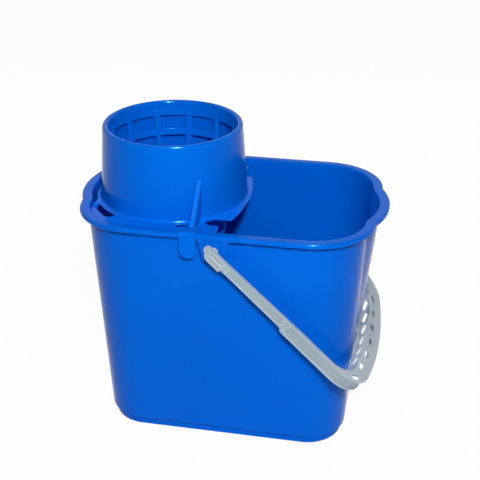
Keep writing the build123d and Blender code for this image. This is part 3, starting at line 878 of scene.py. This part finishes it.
def bendCentre(halfWidth, bend, bow):
    # where the bend turns, so that it meets both the arm and the bow
    bendY = halfWidth - bend
    return bowAt + sqrt((bow - bend) ** 2 - bendY ** 2), bendY


def bailLine(halfWidth, bend, bow):
    # half of a plan line: arm, bend, bowed grip; returns a function of run and share
    bendU, bendY = bendCentre(halfWidth, bend, bow)
    tangent = atan2(bendY, bendU - bowAt)

    def point(run, share):
        if run == "arm":
            return share, halfWidth
        if run == "bend":
            turn = pi / 2 + (tangent - pi / 2) * share
            return bendU + bend * cos(turn), bendY + bend * sin(turn)
        turn = tangent * (1 - share)
        return bowAt + bow * cos(turn), bow * sin(turn)
    return point


def insetLine(inset):
    # the outer line moved in
    return bailLine(bail["armOuter"] - inset, bail["bendOuter"] - inset, outerBow - inset)


def outsetLine(outset):
    # the inner line moved out
    return bailLine(bail["armInner"] + outset, bail["bendInner"] + outset, bail["bow"] + outset)


innerLine, hollowInner = outsetLine(0.0), outsetLine(bail["floor"])
outerLine, hollowOuter = insetLine(0.0), insetLine(bail["wall"])
grooveLine = insetLine(bail["groove"])


def armEdges(u):
    # lower and upper edge of the arm, seen from the side
    half, tip = bail["half"], bail["tipEnd"] + bail["tipRound"]
    high = bail["armAbove"]
    if u > bail["padEnd"]:
        share = (u - bail["padEnd"]) / (bail["taperEnd"] - bail["padEnd"])
        high += (half - high) * min(share, 1.0)
    if u < tip:
        sweep = sqrt(max(bail["tipRound"] ** 2 - (u - tip) ** 2, 0.0))
        return bail["tipRound"] - bail["tipBelow"] - sweep, high - bail["tipRound"] + sweep
    if u <= bail["tipStart"]:
        return -bail["tipBelow"], high
    if u < bail["padRoundEnd"]:
        share = (u - bail["tipStart"]) / (bail["padRoundEnd"] - bail["tipStart"])
        return -bail["tipBelow"] - (half - bail["tipBelow"]) * sqrt(1 - (1 - share) ** 2), high
    if u <= bail["padEnd"]:
        return -half, high
    if u <= bail["step"]:
        return -bail["armBelow"], high
    share = min((u - bail["step"]) / (bail["stepEnd"] - bail["step"]), 1.0)
    return -bail["armBelow"] - (half - bail["armBelow"]) * share, high


def grooveEdges(u, low, high):
    # lower and upper edge of the groove, with round ends, and whether it is open here
    middle, half, inside = (low + high) / 2, bail["grooveTip"], 0.0
    if bail["grooveFrom"] <= u <= bail["grooveTo"]:
        wide = (high - low) / 2 - bail["edge"]
        inside = min(u - bail["grooveFrom"], bail["grooveTo"] - u)
    elif u >= bail["channelFrom"]:
        wide = (high - low) / 2 - bail["flange"]
        inside = u - bail["channelFrom"]
    if inside > 0:
        half = max(wide * sqrt(1 - (1 - min(inside / wide, 1.0)) ** 2), half)
    return middle - half, middle + half, inside > 0


def bailSection(run, share):
    # inner wall, top, outer wall with its groove, and the hollow below
    inner, outer = innerLine(run, share), outerLine(run, share)
    low, high = -bail["half"], bail["half"]
    grooveLow, grooveHigh, grooved = low + bail["flange"], high - bail["flange"], True
    if run == "arm":
        low, high = armEdges(share)
        grooveLow, grooveHigh, grooved = grooveEdges(share, low, high)
    deep = grooveLine(run, share) if grooved else outer
    corners = [
        (*inner, low), (*inner, high), (*outer, high),
        (*outer, grooveHigh + bail["grooveSlope"]), (*deep, grooveHigh),
        (*deep, grooveLow), (*outer, grooveLow - bail["grooveSlope"]), (*outer, low),
    ]
    if run == "grip" or (run == "bend" and share > bail["hollowFrom"]):
        first, last = hollowOuter(run, share), hollowInner(run, share)
        roof = high - bail["flange"]
        corners += [(*first, low), (*first, roof), (*last, roof), (*last, low)]
    else:
        for part in bail["lowShares"]:
            u, y = [a + (b - a) * part for a, b in zip(outer, inner)]
            corners.append((u, y, low))
    return [bailPoint(u, -y, w) for u, y, w in corners]


def strapPart():
    bm = bmesh.new()
    runs = [("arm", u) for u in bail["armStops"]]
    runs += [("bend", share) for share in bail["bendStops"]]
    runs += [("grip", share) for share in bail["gripStops"]]
    ring = circleRing(bm, bail["sectionCorners"])
    rings = []
    for i, (run, share) in enumerate(runs):
        ring = nextRing(bm, ring) if i else ring
        placeRing(ring, bailSection(run, share))
        rings.append(ring)
    bm.faces.new(rings[0])
    bmesh.ops.recalc_face_normals(bm, faces=bm.faces)
    pairs = zip(rings, rings[1:])
    long = [bm.edges.get((a[i], b[i])) for a, b in pairs for i in bail["longEdges"]]
    bevelEdges(bm, long, bail["soften"], 3)
    mirrorPart(bm, "Y")
    return bm


def bailFaces(bm, test):
    # faces whose corners all pass a test of run, distance from the middle and height
    pivot = Vector((0, 0, bail["pivot"]))
    found = []
    for f in bm.faces:
        spots = [v.co - pivot for v in f.verts]
        if all(test(p.dot(bailU), abs(p.y), p.dot(bailW)) for p in spots):
            found.append(f)
    return found


def fromBow(u, y):
    return sqrt((u - bowAt) ** 2 + y * y)


def pierceSlots(bm):
    # long slots through the grip's top, and one on each bend
    half, roof = bail["half"], bail["half"] - bail["flange"]
    radius = bail["bow"] + bail["slotInset"]
    spots = []
    for row in range(bail["slotRows"]):
        turn = (row - (bail["slotRows"] - 1) / 2) * bail["slotPitch"] / radius
        spots.append((bowAt + radius * cos(turn), radius * sin(turn), turn))
    bendU, bendY = bendCentre(bail["armOuter"], bail["bendOuter"], outerBow)
    out = (bail["bendOuter"] - bail["bendSlotInset"]) * sqrt(0.5)
    spots += [(bendU + out, side * (bendY + out), side * pi / 4) for side in (1, -1)]
    topRings, roofRings = [], []
    for su, sy, turn in spots:
        def place(a, b, w):
            u, y = su - a * sin(turn) + b * cos(turn), sy + a * cos(turn) + b * sin(turn)
            return bailPoint(u, y, w)
        mouth, throat = chamferedSlot(bm, place, half, *bail["slot"], bail["slotCut"])
        lower = ovalRing(bm, lambda a, b: place(a, b, roof), *bail["slot"])
        bridgeRings(bm, throat, lower)
        topRings.append(mouth)
        roofRings.append(lower)

    def onTop(u, y, w):
        return u > bail["topFrom"] and abs(w - half) < onPlane

    def onRoof(u, y, w):
        # the channel's edge is as high as the hollow's roof
        channel = y < bail["channelHalf"] and fromBow(u, y) > outerBow - bail["channelBand"]
        return u > bail["roofFrom"] and abs(w - roof) < onPlane and not channel

    pierce(bm, bailFaces(bm, onTop), topRings)
    pierce(bm, bailFaces(bm, onRoof), roofRings)


def pierceDiamonds(bm):
    # diamonds through the grip's inner wall
    front, back = bail["bow"], bail["bow"] + bail["floor"]
    wide, tall = bail["diamond"]
    power = bail["diamondPower"]
    frontRings, backRings = [], []
    for row in range(bail["diamondCount"]):
        middle = (row - (bail["diamondCount"] - 1) / 2) * bail["diamondPitch"]
        hole = circleRing(bm, bail["diamondCorners"])
        points = []
        for v in hole:
            size = (abs(v.co.x) ** power + abs(v.co.y) ** power) ** (-1 / power)
            y = middle + v.co.x * size * wide / 2
            points.append((y, v.co.y * size * tall / 2 - bail["diamondDrop"]))

        def bowed(radius):
            for y, w in points:
                turn = y / radius
                yield bailPoint(bowAt + radius * cos(turn), radius * sin(turn), w)
        placeRing(hole, bowed(front))
        frontRings.append(hole)
        hole = nextRing(bm, hole)
        placeRing(hole, bowed(back))
        backRings.append(hole)
    for radius, rings in ((front, frontRings), (back, backRings)):
        def onWall(u, y, w):
            near = abs(fromBow(u, y) - radius) < bail["onBow"]
            return y < bail["gripHalf"] and u > bail["gripFrom"] and near
        pierce(bm, bailFaces(bm, onWall), rings)


def groovePads(bm, side):
    # two grooves beside the rib of a pad
    face, cut = bail["armOuter"], bail["padCut"]
    rims = []
    for row in (1, -1):
        rise = (bail["armAbove"] - bail["half"]) / 2 + row * bail["padRow"]

        def place(a, b, y):
            return bailPoint(bail["padMiddle"] + a, side * y, rise + b)
        rim, lower = chamferedSlot(bm, place, face, *bail["padGroove"], cut)
        deep = nextRing(bm, lower)
        placeRing(deep, [v.co - Vector((0, side * (bail["groove"] - cut), 0)) for v in deep])
        bm.faces.new(deep)
        rims.append(rim)
    first, last = bail["padPatch"]
    outside = bailFaces(bm, lambda u, y, w: first < u < last and abs(y - face) < onPlane)
    pierce(bm, [f for f in outside if f.calc_center_median().y * side > 0], rims)


def studPart(side):
    # a stud that turns in an ear
    bm = bmesh.new()
    root, shoulder, head = bail["armInner"] + stud["sink"], stud["shoulderAt"], stud["headAt"]
    tip = head - stud["headThick"]
    outline = [
        (0.0, root), (stud["shoulder"], root),
        (stud["shoulder"], shoulder + stud["shoulderCut"]),
        (stud["shoulder"] - stud["shoulderCut"], shoulder),
        (stud["pin"], shoulder), (stud["pin"], head), (stud["head"], head),
        (stud["head"], tip + stud["headCut"]), (stud["head"] - stud["headCut"], tip), (0.0, tip),
    ]
    verts = [bm.verts.new((r, side * y, bail["pivot"])) for r, y in outline]
    for pair in zip(verts, verts[1:]):
        bm.edges.new(pair)
    bmesh.ops.spin(
        bm, geom=bm.verts[:] + bm.edges[:], cent=(0, 0, bail["pivot"]), axis=(0, 1, 0),
        angle=2 * pi, steps=stud["steps"], use_merge=True,
    )
    return bm


def buildHandle():
    strap = strapPart()
    pierceSlots(strap)
    pierceDiamonds(strap)
    for side in (1, -1):
        groovePads(strap, side)
    whole = bmesh.new()
    joinPart(whole, strap)
    for side in (1, -1):
        joinPart(whole, studPart(side))
    finishPiece(whole, "bailHandle", "handle", "handle", handlePlastic)


buildBucket()
buildWringer()
buildHandle()


# floor, light and camera

studio = {
    "camera": (0.223471, -1.080445, 0.776336), "lens": 74.98, "sensor": 36.0,
    "right": (0.980581, 0.19611, -0.0014), "up": (-0.086552, 0.439156, 0.894232),
    "back": (0.175983, -0.876745, 0.447602),
    "floorSize": 24.0, "floorColour": (0.86, 0.86, 0.86, 1.0), "floorWhite": 0.96,
    "white": (1.0, 1.0, 1.0, 1.0), "skyLight": 0.08, "aim": (0.0, 0.0, 0.2),
    # place, size, watts, and what the lamp gives: light, glints or both
    "lamps": [
        ((0.272, -1.016, 0.964), 0.06, 12.0, "both"),
        ((0.37, -1.13, 1.27), 0.06, 3.0, "both"),
        ((0.255, -0.833, 1.542), 0.2, 240.0, "glints"),
        ((0.305, -1.223, 1.185), 0.3, 9.0, "glints"),
        ((-0.9, 1.1, 0.9), 0.6, 8.0, "light"),
        ((0.55, 1.3, 0.9), 0.6, 6.0, "light"),
    ],
}


def seenWhite(tree):
    # 1 for the camera, glossy and transmission rays that see white surroundings
    nodes, links = tree.nodes, tree.links
    path = nodes.new("ShaderNodeLightPath")
    seen = path.outputs["Is Camera Ray"]
    for ray in ("Is Glossy Ray", "Is Transmission Ray"):
        either = nodes.new("ShaderNodeMath")
        either.operation = "MAXIMUM"
        links.new(seen, either.inputs[0])
        links.new(path.outputs[ray], either.inputs[1])
        seen = either.outputs[0]
    return seen


def mixShaders(tree, share, first, second, output):
    mix = tree.nodes.new("ShaderNodeMixShader")
    tree.links.new(share, mix.inputs["Fac"])
    tree.links.new(first, mix.inputs[1])
    tree.links.new(second, mix.inputs[2])
    tree.links.new(mix.outputs["Shader"], tree.nodes[output].inputs["Surface"])


def makeWorld():
    world = bpy.data.worlds.new("studioWorld")
    scene.world = world
    world.use_nodes = True
    tree = world.node_tree
    sky = tree.nodes["Background"]
    sky.inputs["Color"].default_value = studio["white"]
    sky.inputs["Strength"].default_value = studio["skyLight"]
    white = tree.nodes.new("ShaderNodeBackground")
    white.inputs["Color"].default_value = studio["white"]
    white.inputs["Strength"].default_value = 1.0
    mixShaders(
        tree, seenWhite(tree), sky.outputs["Background"], white.outputs["Background"],
        "World Output",
    )


def makeFloor():
    bm = bmesh.new()
    bmesh.ops.create_grid(bm, x_segments=2, y_segments=2, size=studio["floorSize"])
    mesh = bpy.data.meshes.new("studioFloor")
    bm.to_mesh(mesh)
    bm.free()
    floor = bpy.data.objects.new("studioFloor", mesh)
    scene.collection.objects.link(floor)
    mat = bpy.data.materials.new("paleFloor")
    mat.use_nodes = True
    tree = mat.node_tree
    tree.nodes.remove(tree.nodes["Principled BSDF"])
    diffuse = tree.nodes.new("ShaderNodeBsdfDiffuse")
    diffuse.inputs["Color"].default_value = studio["floorColour"]
    glow = tree.nodes.new("ShaderNodeEmission")
    glow.inputs["Strength"].default_value = 1.0
    share = tree.nodes.new("ShaderNodeMath")    # the rest of the share keeps the shadow
    share.operation = "MULTIPLY"
    share.inputs[1].default_value = studio["floorWhite"]
    tree.links.new(seenWhite(tree), share.inputs[0])
    mixShaders(
        tree, share.outputs[0], diffuse.outputs["BSDF"], glow.outputs["Emission"],
        "Material Output",
    )
    mesh.materials.append(mat)


def makeLamps():
    aim = Vector(studio["aim"])
    for i, (place, size, watts, gives) in enumerate(studio["lamps"]):
        data = bpy.data.lights.new("softBox%d" % i, "AREA")
        data.size = size
        data.energy = watts
        lamp = bpy.data.objects.new("softBox%d" % i, data)
        scene.collection.objects.link(lamp)
        lamp.location = place
        lamp.rotation_euler = (aim - Vector(place)).to_track_quat("-Z", "Y").to_euler()
        lamp.visible_diffuse = gives != "glints"
        lamp.visible_glossy = gives != "light"


def makeCamera():
    data = bpy.data.cameras.new("studioCamera")
    data.lens = studio["lens"]
    data.sensor_width = studio["sensor"]
    camera = bpy.data.objects.new("studioCamera", data)
    scene.collection.objects.link(camera)
    turn = Matrix((studio["right"], studio["up"], studio["back"])).transposed().to_4x4()
    camera.matrix_world = Matrix.Translation(studio["camera"]) @ turn
    scene.camera = camera


makeWorld()
makeFloor()
makeLamps()
makeCamera()
scene.view_settings.view_transform = "Standard"
print("studio ready")
